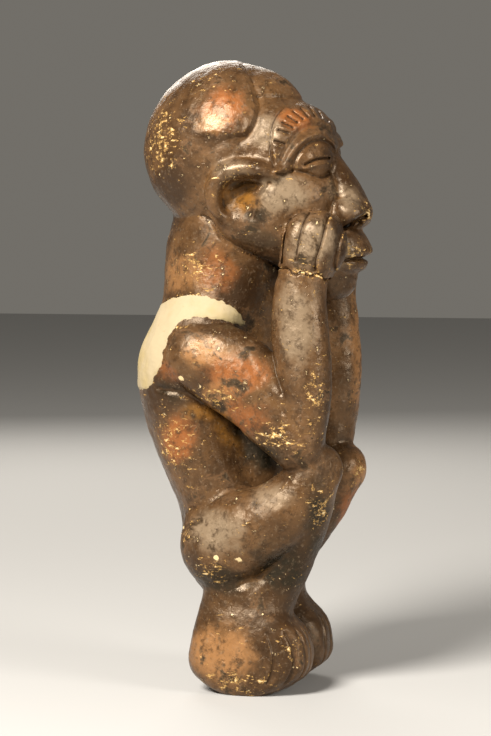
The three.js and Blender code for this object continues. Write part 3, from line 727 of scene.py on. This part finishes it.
colour = tint(tree, ramp(tree, clouds, 0.34, 0.66), DARK, BROWN)
edge = sums(tree, "MULTIPLY", sums(tree, "SUBTRACT", streaks, 0.5), 1.5)
for shade, strength, middle, size in PATCHES:
    share = sums(tree, "ADD", spot(tree, place, middle, size), edge)
    colour = tint(tree, ramp(tree, share, 0.1, 0.75, 0.0, strength), colour, shade)
# rubbed through on the proud places, and mottled finely all over
proud = ramp(tree, sums(tree, "ADD", hollow, sums(tree, "MULTIPLY", streaks, 0.06)),
             -0.02, -0.12, 0.0, 0.15)
colour = tint(tree, proud, colour, AMBER)
colour = tint(tree, ramp(tree, specks, 0.46, 0.68, 0.0, 0.85), colour, DARK)
colour = tint(tree, ramp(tree, grain, 0.54, 0.75, 0.0, 0.35), colour, DUST)
# in the hollows golden dirt lies round their edges; the darkening at their bottom and in the fine creases
# is painted shade
deep = sums(tree, "ADD", hollow, sums(tree, "MULTIPLY", sums(tree, "SUBTRACT", specks, 0.5), 0.12))
colour = tint(tree, ramp(tree, cavity, 0.15, 0.7, 0.0, 0.7), colour, DIRT)
# painted shade: near black at the bottom of the deep hollows
colour = tint(tree, ramp(tree, cavity, 0.7, 1.8, 0.0, 0.9), colour, BLACK)
# painted shade: dark in the fine creases, broken up by specks
colour = tint(tree, ramp(tree, deep, 0.03, 0.12, 0.0, 0.9), colour, DARK)

# chips: small ragged flakes, thickest where the surface has been knocked
where = None
for strength, middle, size in CHIPPED:
    share = sums(tree, "MULTIPLY", spot(tree, place, middle, size), strength)
    where = share if where is None else sums(tree, "MAXIMUM", where, share)
turned = node(tree, "Mapping", {"Vector": place, "Rotation": (0.7, 0, 0), "Scale": (1, 0.45, 1.3)})
flakes = sums(tree, "MAXIMUM", noise(tree, place, 1.25, 4, 0.8), noise(tree, turned, 0.9, 3, 0.75))
knocked = sums(tree, "ADD", flakes, sums(tree, "MULTIPLY", where, 0.14))
knocked = sums(tree, "SUBTRACT", knocked, sums(tree, "MULTIPLY", hollow, 0.5))
stained = ramp(tree, knocked, 0.665, 0.725, 0.0, 0.8)
chip = ramp(tree, knocked, 0.745, 0.775)
colour = tint(tree, stained, colour, GOLD)
colour = tint(tree, sums(tree, "MULTIPLY", chip, 0.9), colour, CREAM)

roughly = sums(tree, "MULTIPLY", sums(tree, "SUBTRACT", specks, 0.5), 2.5)
# cream spots: the two on the right thigh are painted highlights
for middle, size in THIGH_HIGHLIGHTS_AND_ARM_SPOT:
    share = sums(tree, "ADD", spot(tree, place, middle, size), roughly)
    colour = tint(tree, ramp(tree, share, 0.4, 0.6, 0.0, 0.9), colour, CREAM)

# the surface: worn smooth but pitted, dull where dusty, dirty or chipped
sheen = ramp(tree, streaks, 0.3, 0.7, 0.24, 0.48)
sheen = sums(tree, "ADD", sheen, sums(tree, "MULTIPLY", stained, 0.3))
sheen = sums(tree, "ADD", sheen, ramp(tree, cavity, 0.1, 0.8, 0.0, 0.3))
pits = ramp(tree, noise(tree, place, 0.9, 2, 0.5), 0.36, 0.28, 0.0, 1.0)
height = sums(tree, "MULTIPLY", specks, 0.6)
height = sums(tree, "ADD", height, sums(tree, "MULTIPLY", grain, 0.35))
height = sums(tree, "SUBTRACT", height, sums(tree, "MULTIPLY", pits, 0.35))
height = sums(tree, "SUBTRACT", height, sums(tree, "MULTIPLY", stained, 0.3))
shader = tree.nodes["Principled BSDF"]
shader.inputs["Specular IOR Level"].default_value = 0.45
shader.inputs["Specular Tint"].default_value = (1.0, 0.80, 0.60, 1)
tree.links.new(colour, shader.inputs["Base Color"])
tree.links.new(node(tree, "Math", {0: sheen, 1: 0.95}, operation="MINIMUM"), shader.inputs["Roughness"])
bump = node(tree, "Bump", {"Height": height, "Strength": 0.8, "Distance": 0.00035})
tree.links.new(bump, shader.inputs["Normal"])

# ---- Fill paste ----
# A smooth cream plaster paste, pressed in and rubbed down, faintly yellow in places and specked with dirt.
PASTE, YELLOWED, GRUBBY = (0.39, 0.315, 0.195, 1), (0.35, 0.27, 0.125, 1), (0.30, 0.19, 0.08, 1)
paste = bpy.data.materials.new("fill paste")
paste.use_nodes = True
tree = paste.node_tree
place = node(tree, "TexCoord", {}, out=3)
mottle, dots = noise(tree, place, 8, 4, 0.6), noise(tree, place, 0.8, 4, 0.6)
colour = tint(tree, ramp(tree, mottle, 0.4, 0.7), PASTE, YELLOWED)
colour = tint(tree, ramp(tree, dots, 0.62, 0.75, 0.0, 0.4), colour, GRUBBY)
shader = tree.nodes["Principled BSDF"]
tree.links.new(colour, shader.inputs["Base Color"])
shader.inputs["Roughness"].default_value = 0.85
height = sums(tree, "ADD", sums(tree, "MULTIPLY", mottle, 0.8), sums(tree, "MULTIPLY", dots, 0.25))
bump = node(tree, "Bump", {"Height": height, "Strength": 0.5, "Distance": 0.0004})
tree.links.new(bump, shader.inputs["Normal"])

# ---- The pieces ----
# The block comes apart only along its creases, and the fill lies in its own bed. Each piece has the size of
# the grid cells that its surface is found with, in millimetres.
CELLS = {
    "trunk": 0.56, "head": 0.48, "right_hand": 0.37, "left_hand": 0.45, "right_arm": 0.45,
    "left_arm": 0.5, "right_leg": 0.45, "left_leg": 0.5, "shoulder_fill": 0.45}
coarse = 1.0
for name, voxel in CELLS.items():
    piece = make_piece(name, voxel * coarse)
    fill = name == "shoulder_fill"
    piece.data.materials.append(paste if fill else patina)
    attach(piece, "root")
    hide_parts(name)

# ---- Floor, light and camera ----
# A plain pale floor, a broad soft light high on the figure's right, one before its face and a weaker one
# behind its left shoulder.
floor_mesh = bpy.data.meshes.new("floor")
REACHES = 3.0  # metres of floor on each side
corners = [(-REACHES, -REACHES, 0), (REACHES, -REACHES, 0), (REACHES, REACHES, 0), (-REACHES, REACHES, 0)]
floor_mesh.from_pydata(corners, [], [(0, 1, 2, 3)])
floor = bpy.data.objects.new("floor", floor_mesh)
bpy.context.scene.collection.objects.link(floor)
floor_paint = bpy.data.materials.new("floor paint")
floor_paint.use_nodes = True
shader = floor_paint.node_tree.nodes["Principled BSDF"]
shader.inputs["Base Color"].default_value = (0.46, 0.46, 0.46, 1)
shader.inputs["Roughness"].default_value = 0.9
floor_mesh.materials.append(floor_paint)

bpy.context.scene.view_settings.view_transform = "Standard"
world = bpy.data.worlds.new("studio")
bpy.context.scene.world = world
world.use_nodes = True
world.node_tree.nodes["Background"].inputs[0].default_value = (0.84, 0.79, 0.70, 1)
world.node_tree.nodes["Background"].inputs[1].default_value = 0.2


def aim(thing, position, target):
    """Puts a light or camera at a position, looking at a target."""
    from mathutils import Vector

    thing.location = position
    thing.rotation_euler = (Vector(target) - Vector(position)).to_track_quat("-Z", "Y").to_euler()
    bpy.context.scene.collection.objects.link(thing)


CHEST = (0, 0, 0.11)
# Each lamp's name, place, width and power, in metres and watts
LAMPS = [
    ("key", (-0.70, 0.22, 0.66), 0.32, 20.0),
    ("fill", (-0.35, -0.9, 0.4), 0.4, 6.0),
    ("back", (0.75, 0.35, 0.55), 0.5, 4.0)]
for label, position, size, power in LAMPS:
    lamp = bpy.data.lights.new(label, "AREA")
    lamp.shape, lamp.size, lamp.energy, lamp.color = "DISK", size, power, (1.0, 0.94, 0.85)
    aim(bpy.data.objects.new(label, lamp), position, CHEST)

RISE, REACH = np.radians(3.5), 0.8
camera = bpy.data.objects.new("camera", bpy.data.cameras.new("camera"))
camera.data.lens = 122.0
camera.data.shift_x, camera.data.shift_y = -0.00995, 0.00723
middle = np.array([0, 0, 0.1])
away = np.array([-np.cos(TURN) * np.cos(RISE), -np.sin(TURN) * np.cos(RISE), np.sin(RISE)])
aim(camera, tuple(middle + REACH * away), tuple(middle))
bpy.context.scene.camera = camera
